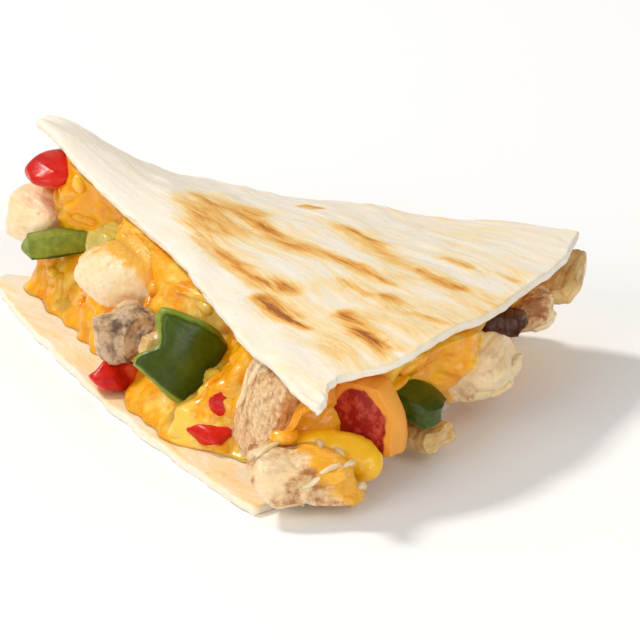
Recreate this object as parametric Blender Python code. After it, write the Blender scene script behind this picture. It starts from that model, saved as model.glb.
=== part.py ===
"""One wedge of a chicken quesadilla: two flour sheets with cheese, chicken, peppers and onion between.

Metres, +Z up. The origin lies on the flat underside of the lower sheet. +X runs from the point of the
wedge to its rim, and +Y points to the back cut. The wedge has three open sides: the front cut, the rim
and the back cut. Every morsel of filling is placed by the side where it shows.
"""
from math import cos, exp, hypot, pi, radians, sin

import bmesh
import bpy
from mathutils import Euler, Matrix, Vector, noise

MM = 0.001

# The wedge
FRONT_CUT = 145 * MM         # length of the front cut, point to rim
BACK_CUT = 117 * MM          # length of the back cut, point to rim
HALF_ANGLE = radians(23.5)   # half the angle between the two cuts
RIM_BULGE = 8.5 * MM         # how far the rim bows out from its chord
POINT_X = -76 * MM           # where the point lies
POINT_Y = 10 * MM
POINT_TRIM = 0.03            # share of the length that the blunt point lacks

# The two sheets
SHEET = 2.2 * MM             # thickness of a flour sheet
POINT_HEIGHT = 35 * MM       # top of the upper sheet at the point
RIM_HEIGHT = 23.2 * MM       # top of the upper sheet at both ends of the rim
LIFT_LENGTH = (0.28, 0.19)   # share of the front and the back cut over which the point is lifted
CROWN = 3.5 * MM             # rise of the upper sheet between its cuts
CROWN_SKEW = 0.65            # under 1, the sheet falls away most steeply at the front cut
CROWN_START = 0.4            # share of the length over which the crown grows from the point
RIPPLE = 0.4 * MM            # height of the upper sheet's waves
CORNER_SAG = 2.2 * MM        # how far the rim hangs beside its front corner
DRAW = 3.6 * MM                # how far the upper sheet's front edge is drawn in
DRAW_MIDDLE = 0.44           # where along the front cut that is, as a share of its length
DRAW_LENGTH = 0.22           # and how far it spreads
EDGE_WAVE = 0.9 * MM         # how far the sheets' edges wander from a straight line
LOWER_SLIDE = 9 * MM         # how far the lower sheet has slid out past the front cut
LOWER_BOW = 5 * MM           # how much further its front edge bows out
LOWER_REACH = 0.94           # share of the wedge's length that the lower sheet reaches
WALL_INSET = 3 * MM          # how far the cheese stands back from the cuts where it has no lobe
INSET_START = 0.25           # share of the length over which that inset grows from the point

# The filling
GAP = 0.3 * MM               # clearance between touching pieces
PRESS = 1.0 * MM             # clearance under the upper sheet
FREE_RISE = 0.5              # how steeply a morsel may rise once it is past the upper sheet's edge
FREE_RISE_MOST = 3 * MM      # and how far
LUMPS = 0.16                 # how unevenly a morsel swells, as a share of its size
BITE_HEIGHT = 0.25           # share of a morsel's height, from its middle, that a bite reaches over
CORE_Q = (0.08, 0.985)       # the cheese runs between these shares of the length

# Mesh steps
COLUMN_CROWDING = 1.4        # over 1, a sheet's columns stand closer together near the front cut
WELD = 0.02 * MM
SHEET_STEPS = (17, 9)
CORE_STEPS = (17, 7)
WALL_STEPS = 4

UP = Vector((0, 0, 1))
FRONT = Vector((cos(HALF_ANGLE), -sin(HALF_ANGLE), 0))
BACK = Vector((cos(HALF_ANGLE), sin(HALF_ANGLE), 0))
POINT = Vector((POINT_X, POINT_Y, 0))
FRONT_END = POINT + FRONT * FRONT_CUT
BACK_END = POINT + BACK * BACK_CUT
RIM = (BACK_END - FRONT_END).normalized()
FRONT_OUT = Vector((-sin(HALF_ANGLE), -cos(HALF_ANGLE), 0))
BACK_OUT = Vector((-sin(HALF_ANGLE), cos(HALF_ANGLE), 0))
RIM_OUT = RIM.cross(UP)

# Each side: where it starts, which way it runs, which way is out of the wedge
SIDES = {
    "front": (POINT, FRONT, FRONT_OUT),
    "rim": (FRONT_END, RIM, RIM_OUT),
    "back": (POINT, BACK, BACK_OUT),
}


def clear_scene():
    for item in list(bpy.data.objects):
        bpy.data.objects.remove(item, do_unlink=True)


def finish_material(name, colour, roughness):
    material = bpy.data.materials.new(name)
    material.use_nodes = True
    shader = material.node_tree.nodes["Principled BSDF"]
    shader.inputs["Base Color"].default_value = (*colour, 1.0)
    shader.inputs["Roughness"].default_value = roughness
    shader.inputs["Metallic"].default_value = 0.0
    return material


def add_object(name, mesh, material):
    item = bpy.data.objects.new(name, mesh)
    bpy.context.scene.collection.objects.link(item)
    if material:
        mesh.materials.append(material)
    return item


# ---------------------------------------------------------------- the wedge's plan and height


def plan_point(q, t, slide=0.0, bow=0.0):
    """q runs from the point to the rim, t from the front cut to the back cut."""
    reach = FRONT * FRONT_CUT * (1 - t) + BACK * BACK_CUT * t
    place = POINT + reach * q
    place += RIM_OUT * RIM_BULGE * 4 * t * (1 - t) * q * q
    place += FRONT_OUT * (slide + bow * 4 * q * (1 - q) * (1 - t) ** 2)
    return place


def plan_shares(x, y):
    """The q and t of a plan point, the inverse of plan_point for the upper sheet."""
    target = Vector((x, y, 0)) - POINT
    step_front = FRONT * FRONT_CUT
    step_back = BACK * BACK_CUT
    area = step_front.x * step_back.y - step_front.y * step_back.x
    q = t = 0.5
    for _ in range(4):
        flat = target - RIM_OUT * RIM_BULGE * 4 * t * (1 - t) * q * q
        to_front = (flat.x * step_back.y - flat.y * step_back.x) / area
        to_back = (step_front.x * flat.y - step_front.y * flat.x) / area
        q = min(max(to_front + to_back, 0.01), 1.1)
        t = min(max(to_back / q, -0.5), 1.5)
    return q, t


def upper_height(q, t):
    """Top of the upper sheet: it falls from the lifted point, over a skewed crown, with slow waves."""
    lift_length = LIFT_LENGTH[0] + (LIFT_LENGTH[1] - LIFT_LENGTH[0]) * t
    slope = RIM_HEIGHT + (POINT_HEIGHT - RIM_HEIGHT) / (1 + (q / lift_length) ** 2.5)
    crown = CROWN * sin(pi * t ** CROWN_SKEW) * min(1.0, q / CROWN_START)
    waves = RIPPLE * sin(9.0 * q + 2.0) * sin(7.0 * t + 4.0 * q)
    sag = CORNER_SAG * q ** 12 * exp(-((t - 0.16) / 0.11) ** 2)
    return slope + crown + waves - sag


def roof_height(x, y, free_rise=0.0):
    """The highest that the filling may reach: under the upper sheet, and rising outside its edge."""
    q, t = plan_shares(x, y)
    width = (BACK_END - FRONT_END).length * q
    outside = max((q - 1) * FRONT_CUT, -t * width, (t - 1) * width, 0.0)
    under = upper_height(min(q, 1.0), min(max(t, 0.0), 1.0)) - SHEET - PRESS
    return under + min(outside * free_rise, FREE_RISE_MOST)


# ---------------------------------------------------------------- flour sheets


def flour_sheet(name, material, slide, bow, draw, reach, height, grows_down):
    """A grid over the wedge's plan, thickened by Solidify."""
    rows, columns = SHEET_STEPS
    mesh = bpy.data.meshes.new(name)
    grid = bmesh.new()
    points = []
    for i in range(rows + 1):
        q = (POINT_TRIM + (1 - POINT_TRIM) * i / rows) * reach
        for j in range(columns + 1):
            t = (j / columns) ** COLUMN_CROWDING
            place = plan_point(q, t, slide, bow)
            place -= FRONT_OUT * draw * exp(-((q - DRAW_MIDDLE) / DRAW_LENGTH) ** 2) * (1 - t) ** 3
            place += BACK_OUT * EDGE_WAVE * t ** 4 * sin(23 * q)
            place += RIM_OUT * EDGE_WAVE * q ** 8 * sin(15 * t + 1)
            q_here, t_here = plan_shares(place.x, place.y)
            place.z = height(min(q_here, 1.0), min(max(t_here, 0.0), 1.0))
            points.append(grid.verts.new(place))
    for i in range(rows):
        for j in range(columns):
            a = i * (columns + 1) + j
            b = a + columns + 1
            grid.faces.new((points[a], points[b], points[b + 1], points[a + 1]))
    grid.to_mesh(mesh)
    grid.free()
    sheet = add_object(name, mesh, material)
    wall = sheet.modifiers.new("thickness", "SOLIDIFY")
    wall.thickness = SHEET
    wall.offset = -1.0 if grows_down else 1.0
    return sheet


# ---------------------------------------------------------------- morsels of filling


def side_frame(side, along, out, up, turn, lean, roll):
    """A morsel's matrix: X along the side, Y out of the wedge, Z up, then turned in degrees."""
    start, direction, outward = SIDES[side]
    place = start + direction * along * MM + outward * out * MM + UP * up * MM
    if side == "rim":
        share = along * MM / (BACK_END - FRONT_END).length
        place += RIM_OUT * RIM_BULGE * 4 * share * (1 - share)
    axes = Matrix((direction, outward, UP)).transposed()
    if axes.determinant() < 0:
        axes = Matrix((-direction, outward, UP)).transposed()
    spin = Euler((radians(lean), radians(roll), radians(turn)), "XYZ").to_matrix()
    return Matrix.Translation(place) @ (axes @ spin).to_4x4()


def morsel(name, material, side, along, out, up, size, turn=0, lean=0, roll=0, rounding=0.6,
           bend=0, dome=0, taper=0, bite=0, seed=0, steps=2):
    """A rounded, uneven block between the sheets. Sizes are in millimetres, angles in degrees.

    size: along the side, out of the wedge, up. rounding: 0 is a box and 1 an ellipsoid.
    bend: the angle that its length is curved through. dome: how far its top narrows to a half round.
    taper: how far its top narrows evenly. bite: how far its +X end is drawn in at the middle.
    """
    frame = side_frame(side, along, out, up, turn, lean, roll)
    block = bmesh.new()
    bmesh.ops.create_cube(block, size=1.0)
    bmesh.ops.subdivide_edges(block, edges=block.edges, cuts=steps, use_grid_fill=True)
    for vertex in block.verts:
        p = vertex.co.copy()
        ball = p.normalized() * 0.5
        p = p.lerp(ball, rounding) * (1 + 0.25 * rounding)
        p *= 1 + LUMPS * noise.noise(p * 2.6 + Vector((seed * 3.1, seed * 1.7, seed * 5.3)))
        if dome:
            share = min(max(p.z + 0.5, 0.0), 1.0)
            p.x *= 1 - dome * (1 - (1 - share ** 2) ** 0.5)
        if taper:
            p.x *= 1 - taper * min(max(p.z + 0.5, 0.0), 1.0)
        if bite and p.x > 0:
            p.x *= 1 - bite * exp(-(p.z / BITE_HEIGHT) ** 2)
        p = Vector((p.x * size[0], p.y * size[1], p.z * size[2])) * MM
        if bend:
            angle = p.x / (size[0] * MM) * radians(bend)
            radius = size[0] * MM / radians(bend)
            p.x, p.y = (radius + p.y) * sin(angle), (radius + p.y) * cos(angle) - radius
        world = frame @ p
        world.z = min(max(world.z, SHEET + GAP), roof_height(world.x, world.y, FREE_RISE))
        vertex.co = frame.inverted() @ world
    bmesh.ops.recalc_face_normals(block, faces=block.faces)
    bmesh.ops.triangulate(block, faces=block.faces)
    mesh = bpy.data.meshes.new(name)
    block.to_mesh(mesh)
    block.free()
    mesh.shade_smooth()
    piece = add_object(name, mesh, material)
    piece.matrix_world = frame
    return piece


def chicken_pieces(material):
    """Diced chicken breast, grilled."""
    return [
        morsel("chicken_1", material, "front", 10, 1, 17, (13, 15, 10.5), turn=15, seed=1, steps=3),
        morsel("chicken_2", material, "front", 54.2, -1.8, 18.8, (16.5, 20.5, 10.2), turn=-15, seed=2, steps=3),
        morsel("chicken_3", material, "front", 69.2, 6.8, 12.8, (11, 11, 9.5), turn=25, seed=3),
        morsel("chicken_4", material, "front", 118.3, -4, 13.5, (19, 11, 21), lean=12, roll=-8,
               rounding=0.4, taper=0.3, seed=4, steps=3),
        morsel("chicken_5", material, "front", 138, 0.8, 6.4, (18.5, 13, 9.4), turn=69.5, seed=5, steps=3),
        morsel("chicken_6", material, "rim", 57, -5.5, 13, (17, 14, 12), turn=10, seed=6, steps=3),
        morsel("chicken_7", material, "rim", 83, -6, 15.5, (9, 12, 8), turn=-30, seed=7),
        morsel("chicken_8", material, "back", 36, -4, 13, (15, 12, 12), turn=20, seed=8, steps=3),
        morsel("chicken_9", material, "back", 65, -5, 12.5, (16, 13, 13), turn=-10, seed=9, steps=3),
        morsel("chicken_10", material, "back", 97, -6, 11.5, (15, 13, 12), turn=15, seed=10, steps=3),
    ]


def green_pepper_pieces(material):
    """Strips and folds of green pepper wall."""
    return [
        morsel("green_pepper_1", material, "front", 23.3, -0.7, 15.8, (6, 21, 4.6), turn=-15, lean=-6,
               rounding=0.35, seed=11),
        morsel("green_pepper_2", material, "front", 92, 5.1, 15.4, (18, 4.4, 13.4), turn=80, lean=12, roll=-35,
               rounding=0.5, bend=75, bite=0.45, seed=12, steps=4),
        morsel("green_pepper_3", material, "rim", 33.5, -6, 14.4, (9, 13.5, 4.2), lean=-24, rounding=0.45,
               seed=13),
        morsel("green_pepper_4", material, "back", 50.5, -3.5, 12, (5, 14, 12), lean=10, rounding=0.35,
               seed=14),
    ]


def red_pepper_pieces(material):
    """Pieces of red pepper, one of them a thick half-round slice."""
    return [
        morsel("red_pepper_1", material, "front", 14, -3, 27.6, (11, 16, 5.5), turn=10, rounding=0.7,
               seed=21),
        morsel("red_pepper_2", material, "front", 70, 10.4, 4.9, (6.5, 7.5, 4.6), seed=22),
        morsel("red_pepper_3", material, "front", 104.8, 0.2, 9.8, (6, 7, 5.6), seed=23),
        morsel("red_pepper_4", material, "front", 106, 5.2, 5, (7, 5, 3.6), turn=30, seed=24),
        morsel("red_pepper_5", material, "rim", 22.3, -7.8, 14, (14.8, 6, 14), turn=90, rounding=0.3,
               dome=0.6, seed=25, steps=3),
        morsel("red_pepper_6", material, "back", 81.5, -3, 9, (9, 12, 6), turn=-20, seed=26),
    ]


def onion_pieces(material):
    """Soft slices of onion."""
    return [
        morsel("onion_1", material, "front", 39, -3, 20, (8, 10, 6), turn=15, rounding=0.4, seed=31),
        morsel("onion_2", material, "front", 83.5, 7, 15.2, (5, 6, 5), rounding=0.5, seed=32),
        morsel("onion_3", material, "rim", 37, -5.5, 5.5, (9, 9, 5), turn=-10, rounding=0.35, seed=33),
        morsel("onion_4", material, "rim", 98, -3, 17, (16, 10, 4.5), turn=10, lean=10, roll=14,
               rounding=0.35, seed=34),
        morsel("onion_5", material, "back", 21, -1, 20, (9, 8, 5), turn=-10, rounding=0.4, seed=35),
    ]


def mushroom_pieces(material):
    """A browned slice of mushroom."""
    return [
        morsel("mushroom_1", material, "rim", 70.6, -6, 17.3, (7.5, 9, 4), turn=20, rounding=0.5, seed=41),
    ]


# ---------------------------------------------------------------- melted cheese

# Where the cheese swells out of the wedge, or draws back behind a morsel when the reach is negative:
# side, place along it, height share, reach, length, height
CHEESE_LOBES = (
    ("front", 10, 0.9, -2.5, 8, 0.3),
    ("front", 23, 0.75, 3, 6, 0.22),
    ("front", 30, 0.5, -4, 7, 0.22),
    ("front", 36, 0.8, -2.5, 6, 0.25),
    ("front", 46, 0.3, 4, 10, 0.3),
    ("front", 72, 0.75, 4, 10, 0.4),
    ("front", 86, 0.05, 7, 16, 0.3),
    ("front", 95, 0.75, -5, 9, 0.35),
    ("front", 103, 0.35, 6, 7, 0.4),
    ("front", 120, 0.6, -9, 10, 0.7),
    ("front", 138, 0.4, 4, 8, 0.22),
    ("front", 134, 1.0, -7, 12, 0.45),
    ("rim", 9, 0.85, -10, 11, 0.5),
    ("rim", 14, 0.2, 6, 6, 0.3),
    ("rim", 45, 0.6, 7, 7, 0.35),
    ("rim", 60, 0.5, -3, 9, 0.6),
    ("rim", 90, 0.3, 4, 9, 0.4),
    ("back", 20, 0.4, 4, 8, 0.4),
    ("back", 54, 0.3, 4, 9, 0.4),
    ("back", 86, 0.5, 4, 9, 0.4),
)


def lobe_reach(side, along, level):
    reach = 0.0
    for lobe_side, centre, height, swell, length, tall in CHEESE_LOBES:
        if lobe_side == side:
            away = hypot((along - centre) / length, (level - height) / tall)
            reach += swell * exp(-away * away)
    return reach * MM


def core_point(i, j, level):
    """A point of the cheese at a grid place and a height share from 0, the lower sheet, to 1.

    The two cut walls are set first, each with its inset and lobes, and the grid runs between them.
    """
    rows, columns = CORE_STEPS
    slide = 1 - level
    q = CORE_Q[0] + (CORE_Q[1] - CORE_Q[0]) * i / rows * (1 - (1 - LOWER_REACH) * slide)
    t = j / columns
    front = plan_point(q, 0, LOWER_SLIDE * 0.6 * slide, LOWER_BOW * 0.5 * slide)
    inset = WALL_INSET * min(1.0, q / INSET_START)
    front += FRONT_OUT * (lobe_reach("front", q * FRONT_CUT / MM, level) - inset)
    back = plan_point(q, 1, LOWER_SLIDE * 0.6 * slide)
    back += BACK_OUT * (lobe_reach("back", q * BACK_CUT / MM, level) - inset)
    place = front.lerp(back, t)
    rim_along = t * (BACK_END - FRONT_END).length / MM
    swell = lobe_reach("rim", rim_along, level) - WALL_INSET
    place += RIM_OUT * (RIM_BULGE * 4 * t * (1 - t) * q * q + swell * (i / rows) ** 5)
    place.z = SHEET + GAP
    place.z += (roof_height(place.x, place.y) - SHEET - GAP) * level
    return place


def cheese_core(material, morsels):
    """A lobed block of melted cheese that fills the wedge and has a socket for every morsel."""
    rows, columns = CORE_STEPS
    rim = [(i, 0) for i in range(rows)]
    rim += [(rows, j) for j in range(columns)]
    rim += [(i, columns) for i in range(rows, 0, -1)]
    rim += [(0, j) for j in range(columns, 0, -1)]
    block = bmesh.new()
    floor = {}
    roof = {}
    for i in range(rows + 1):
        for j in range(columns + 1):
            floor[i, j] = block.verts.new(core_point(i, j, 0.0))
            roof[i, j] = block.verts.new(core_point(i, j, 1.0))
    for i in range(rows):
        for j in range(columns):
            corners = ((i, j), (i + 1, j), (i + 1, j + 1), (i, j + 1))
            block.faces.new([roof[c] for c in corners])
            block.faces.new([floor[c] for c in reversed(corners)])
    below = [floor[c] for c in rim]
    for step in range(1, WALL_STEPS + 1):
        if step < WALL_STEPS:
            above = [block.verts.new(core_point(*c, step / WALL_STEPS)) for c in rim]
        else:
            above = [roof[c] for c in rim]
        for k in range(len(rim)):
            n = (k + 1) % len(rim)
            block.faces.new((below[k], below[n], above[n], above[k]))
        below = above
    bmesh.ops.recalc_face_normals(block, faces=block.faces)
    bmesh.ops.triangulate(block, faces=block.faces)
    mesh = bpy.data.meshes.new("cheese")
    block.to_mesh(mesh)
    block.free()
    mesh.shade_smooth()
    cheese = add_object("cheese", mesh, material)
    cut_sockets(cheese, morsels)
    return cheese


def cut_sockets(cheese, morsels):
    """Cuts room for every morsel out of the cheese and keeps the one large body that is left."""
    sockets = bpy.data.collections.new("sockets")
    bpy.context.scene.collection.children.link(sockets)
    for piece in morsels:
        cutter = bpy.data.objects.new("socket_" + piece.name, piece.data.copy())
        sockets.objects.link(cutter)
        cutter.matrix_world = piece.matrix_world
        swell = cutter.modifiers.new("clearance", "DISPLACE")
        swell.strength = GAP * 1.3
        swell.mid_level = 0.0
    cut = cheese.modifiers.new("sockets", "BOOLEAN")
    cut.operation = "DIFFERENCE"
    cut.operand_type = "COLLECTION"
    cut.collection = sockets
    bpy.context.view_layer.update()
    graph = bpy.context.evaluated_depsgraph_get()
    block = bmesh.new()
    block.from_mesh(cheese.evaluated_get(graph).data)
    cheese.modifiers.remove(cut)
    for cutter in list(sockets.objects):
        bpy.data.objects.remove(cutter, do_unlink=True)
    bpy.data.collections.remove(sockets)
    bmesh.ops.remove_doubles(block, verts=block.verts, dist=WELD)
    bmesh.ops.dissolve_degenerate(block, edges=block.edges, dist=WELD)
    crumbs = [face for body in bodies_of(block)[1:] for face in body]
    bmesh.ops.delete(block, geom=crumbs, context="FACES")
    bmesh.ops.triangulate(block, faces=block.faces)
    block.to_mesh(cheese.data)
    block.free()


def bodies_of(block):
    """The faces of each separate body, largest body first. Bodies that only share a pinched edge are two."""
    left = set(block.faces)
    bodies = []
    while left:
        body = set()
        front = [left.pop()]
        while front:
            face = front.pop()
            body.add(face)
            reached = {other for edge in face.edges if edge.is_manifold for other in edge.link_faces} & left
            left -= reached
            front.extend(reached)
        bodies.append(body)
    return sorted(bodies, key=len, reverse=True)


def build():
    clear_scene()
    flour = finish_material("flour", (0.86, 0.72, 0.50), 0.75)
    melted = finish_material("melted_cheese", (0.83, 0.42, 0.04), 0.35)
    chicken = finish_material("chicken", (0.85, 0.62, 0.40), 0.55)
    green = finish_material("green_pepper", (0.07, 0.10, 0.01), 0.3)
    red = finish_material("red_pepper", (0.55, 0.03, 0.02), 0.3)
    onion = finish_material("onion", (0.55, 0.36, 0.14), 0.4)
    mushroom = finish_material("mushroom", (0.12, 0.06, 0.04), 0.5)

    flour_sheet("bottom_tortilla", flour, LOWER_SLIDE, LOWER_BOW, 0.0, LOWER_REACH, lambda q, t: 0.0, False)
    flour_sheet("top_tortilla", flour, 0.0, 0.0, DRAW, 1.0, upper_height, True)
    morsels = chicken_pieces(chicken) + green_pepper_pieces(green) + red_pepper_pieces(red)
    morsels += onion_pieces(onion) + mushroom_pieces(mushroom)
    cheese_core(melted, morsels)


build()
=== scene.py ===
import math

import bpy
import numpy as np
from mathutils import Euler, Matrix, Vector


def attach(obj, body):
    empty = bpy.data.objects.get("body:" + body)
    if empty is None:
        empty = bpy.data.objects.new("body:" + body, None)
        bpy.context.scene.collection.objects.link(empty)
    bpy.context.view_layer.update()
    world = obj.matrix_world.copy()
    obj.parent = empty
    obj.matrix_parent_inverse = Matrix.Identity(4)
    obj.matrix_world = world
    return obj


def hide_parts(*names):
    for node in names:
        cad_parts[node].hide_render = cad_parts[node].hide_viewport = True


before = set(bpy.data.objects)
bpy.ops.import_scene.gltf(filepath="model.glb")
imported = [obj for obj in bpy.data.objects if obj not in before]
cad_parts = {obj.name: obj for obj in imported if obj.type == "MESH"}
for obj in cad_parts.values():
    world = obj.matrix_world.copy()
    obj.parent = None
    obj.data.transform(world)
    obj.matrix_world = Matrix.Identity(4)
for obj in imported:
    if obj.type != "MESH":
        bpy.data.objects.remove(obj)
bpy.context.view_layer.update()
print("frame loaded")

mm = 0.001

# The wedge's driving sizes in millimetres, the same as the frame's
wedge = {
    "frontCut": 145.0,
    "backCut": 117.0,
    "halfAngle": 23.5,
    "rimBulge": 8.5,
    "point": (-76.0, 10.0),
    "pointTrim": 0.03,
    "sheet": 2.2,
    "pointHeight": 35.0,
    "rimHeight": 23.2,
    "liftLength": (0.28, 0.19),
    "crown": 3.5,
    "crownSkew": 0.65,
    "crownStart": 0.4,
    "ripple": 0.4,
    "cornerSag": 2.2,
    "draw": 3.6,
    "drawMiddle": 0.44,
    "drawLength": 0.22,
    "lowerSlide": 9.0,
    "lowerBow": 5.0,
    "lowerReach": 0.94,
    "wallInset": 3.0,
    "gap": 0.3,
    "press": 1.0,
    "freeRise": 0.5,
    "freeRiseMost": 3.0,
    "fillingStart": 0.08,
    "fillingEnd": 0.985,
    "morselPress": 0.6,
    "biteHeight": 0.25,
}

halfAngle = math.radians(wedge["halfAngle"])
up = np.array((0.0, 0.0, 1.0))
frontWay = np.array((math.cos(halfAngle), -math.sin(halfAngle), 0.0))
backWay = np.array((math.cos(halfAngle), math.sin(halfAngle), 0.0))
frontOut = np.array((-math.sin(halfAngle), -math.cos(halfAngle), 0.0))
backOut = np.array((-math.sin(halfAngle), math.cos(halfAngle), 0.0))
point = np.array((*wedge["point"], 0.0))
frontEnd = point + frontWay * wedge["frontCut"]
backEnd = point + backWay * wedge["backCut"]
rimLength = np.linalg.norm(backEnd - frontEnd)
rimWay = (backEnd - frontEnd) / rimLength
rimOut = np.cross(rimWay, up)
sides = {
    "front": (point, frontWay, frontOut),
    "rim": (frontEnd, rimWay, rimOut),
    "back": (point, backWay, backOut),
}


# ---- noise, worked out on whole arrays

def latticeValue(cell, seed, channel):
    # mixes a whole-number place with a seed into a fixed number from 0 to 1
    mixed = cell[..., 0] * 73856093 ^ cell[..., 1] * 19349663 ^ cell[..., 2] * 83492791
    mixed = (mixed + seed * 7919 + channel * 104729) & 0x7FFFFFFF
    mixed = ((mixed ^ (mixed >> 15)) * 739982445) & 0x7FFFFFFF
    mixed = ((mixed ^ (mixed >> 12)) * 695872825) & 0x7FFFFFFF
    return ((mixed ^ (mixed >> 15)) & 0xFFFFF) / 0xFFFFF


def softNoise(places, seed=0):
    # gradient noise from -1 to 1: each lattice corner has a random slope, and the eight slopes round
    # a place are blended by the fade 6f^5 - 15f^4 + 10f^3
    places = np.asarray(places, dtype=float)
    cell = np.floor(places).astype(np.int64)
    inside = places - cell
    fade = inside ** 3 * (inside * (inside * 6 - 15) + 10)
    total = np.zeros(places.shape[:-1])
    for corner in np.ndindex(2, 2, 2):
        corner = np.array(corner)
        at = cell + corner
        slope = np.stack([latticeValue(at, seed, k) for k in range(3)], axis=-1) * 2 - 1
        rise = np.sum(slope * (inside - corner), axis=-1)
        share = np.prod(np.where(corner == 1, fade, 1 - fade), axis=-1)
        total += rise * share
    return np.clip(total * 1.6, -1, 1)


def layeredNoise(places, seed=0, layers=3, gain=0.5):
    # adds up layers of soft noise, each twice as fine and gain times as strong as the one before
    total = np.zeros(np.shape(places)[:-1])
    strength = 1.0
    reach = 0.0
    for layer in range(layers):
        total += strength * softNoise(np.asarray(places) * 2 ** layer, seed + 31 * layer)
        reach += strength
        strength *= gain
    return total / reach


def hill(value, middle, width):
    # 1 at the middle, falling off over width to 0 on both sides, as exp(-d^2)
    return np.exp(-((value - middle) / width) ** 2)


def creases(places, seed=0, width=0.12):
    # 1 along the lines where soft noise crosses zero
    return hill(softNoise(places, seed), 0, width)


def cellNoise(places, seed=0):
    # distance from each place to the nearest of the scattered points, one in each lattice cell
    places = np.asarray(places, dtype=float)
    cell = np.floor(places).astype(np.int64)
    nearest = np.full(places.shape[:-1], 9.0)
    for step in np.ndindex(3, 3, 3):
        at = cell + np.array(step) - 1
        dot = at + np.stack([latticeValue(at, seed, k) for k in range(3)], axis=-1)
        nearest = np.minimum(nearest, np.linalg.norm(dot - places, axis=-1))
    return nearest


def madeUnit(vectors):
    # the same vectors, each made one long
    return vectors / np.maximum(np.linalg.norm(vectors, axis=-1, keepdims=True), 1e-12)


def easedPath(path, rounds):
    # moves each inner place of a path halfway to the middle of its neighbours, rounds times
    for _ in range(rounds):
        path[..., 1:-1, :] = (path[..., :-2, :] + path[..., 1:-1, :] * 2 + path[..., 2:, :]) / 4
    return path


def smoothStep(low, high, value):
    # 0 below low, 1 above high, and 3s^2 - 2s^3 between
    share = np.clip((value - low) / (high - low), 0, 1)
    return share * share * (3 - 2 * share)


# ---- the wedge's plan and height, the frame's own formulas on arrays

def planPlace(q, t, slide=0.0, bow=0.0):
    # q runs from the point to the rim and t from the front cut to the back cut
    q, t, slide, bow = (np.asarray(value, dtype=float)[..., None] for value in (q, t, slide, bow))
    reach = frontWay * wedge["frontCut"] * (1 - t) + backWay * wedge["backCut"] * t
    place = point + reach * q + rimOut * wedge["rimBulge"] * 4 * t * (1 - t) * q * q
    return place + frontOut * (slide + bow * 4 * q * (1 - q) * (1 - t) ** 2)


def planShares(place):
    # the q and t of plan places, found by putting the rim's bulge right four times
    stepFront, stepBack = frontWay * wedge["frontCut"], backWay * wedge["backCut"]
    area = stepFront[0] * stepBack[1] - stepFront[1] * stepBack[0]
    q = np.full(place.shape[:-1], 0.5)
    t = np.full(place.shape[:-1], 0.5)
    for _ in range(4):
        bulge = (wedge["rimBulge"] * 4 * t * (1 - t) * q * q)[..., None] * rimOut
        flat = place - point - bulge
        toFront = (flat[..., 0] * stepBack[1] - flat[..., 1] * stepBack[0]) / area
        toBack = (stepFront[0] * flat[..., 1] - stepFront[1] * flat[..., 0]) / area
        q = np.clip(toFront + toBack, 0.01, 1.1)
        t = np.clip(toBack / q, -0.5, 1.5)
    return q, t


def upperHeight(q, t):
    # falls from the lifted point, rises over a skewed crown, with slow waves and a sag at the corner
    lift = wedge["liftLength"][0] + (wedge["liftLength"][1] - wedge["liftLength"][0]) * t
    fall = wedge["rimHeight"] + (wedge["pointHeight"] - wedge["rimHeight"]) / (1 + (q / lift) ** 2.5)
    crown = np.sin(math.pi * t ** wedge["crownSkew"]) * np.minimum(1, q / wedge["crownStart"])
    waves = wedge["ripple"] * np.sin(9 * q + 2) * np.sin(7 * t + 4 * q)
    return fall + wedge["crown"] * crown + waves - wedge["cornerSag"] * q ** 12 * hill(t, 0.16, 0.11)


def roofHeight(place, freeRise=0.0):
    # the highest that the filling may reach: under the upper sheet, and rising outside its edge
    q, t = planShares(place)
    outside = np.maximum.reduce([(q - 1) * wedge["frontCut"], -t * rimLength * q,
                                 (t - 1) * rimLength * q, np.zeros_like(q)])
    under = upperHeight(np.minimum(q, 1), np.clip(t, 0, 1)) - wedge["sheet"] - wedge["press"]
    return under + np.minimum(outside * freeRise, wedge["freeRiseMost"])


# ---- meshes from arrays

def makePiece(name, places, faces, material, marks=None, smooth=True):
    # turns places in millimetres and faces into an object at the origin. A closed shape whose
    # signed volume is negative has its faces turned round. Marks are numbers or vectors per vertex
    places = np.asarray(places, dtype=float).reshape(-1, 3)
    faces = [np.asarray(block) for block in (faces if isinstance(faces, list) else [faces])]
    volume = 0.0
    for block in faces:
        first = places[block[:, 0]]
        for k in range(1, block.shape[1] - 1):
            volume += np.sum(first * np.cross(places[block[:, k]], places[block[:, k + 1]]))
    if volume < 0:
        faces = [block[:, ::-1] for block in faces]
    loops = np.concatenate([block.ravel() for block in faces])
    sizes = np.concatenate([np.full(len(block), block.shape[1]) for block in faces])
    mesh = bpy.data.meshes.new(name)
    mesh.vertices.add(len(places))
    mesh.vertices.foreach_set("co", (places * mm).ravel())
    mesh.loops.add(len(loops))
    mesh.loops.foreach_set("vertex_index", loops)
    mesh.polygons.add(len(sizes))
    mesh.polygons.foreach_set("loop_start", np.concatenate(([0], np.cumsum(sizes)[:-1])))
    mesh.update(calc_edges=True)
    mesh.validate()
    for key, values in (marks or {}).items():
        values = np.asarray(values, dtype=float)
        kind = "FLOAT_VECTOR" if values.shape[-1] == 3 and values.size == places.size else "FLOAT"
        layer = mesh.attributes.new(key, kind, "POINT")
        layer.data.foreach_set("vector" if kind == "FLOAT_VECTOR" else "value", values.ravel())
    if smooth:
        mesh.shade_smooth()
    mesh.materials.append(material)
    piece = bpy.data.objects.new(name, mesh)
    bpy.context.scene.collection.objects.link(piece)
    return piece


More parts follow.
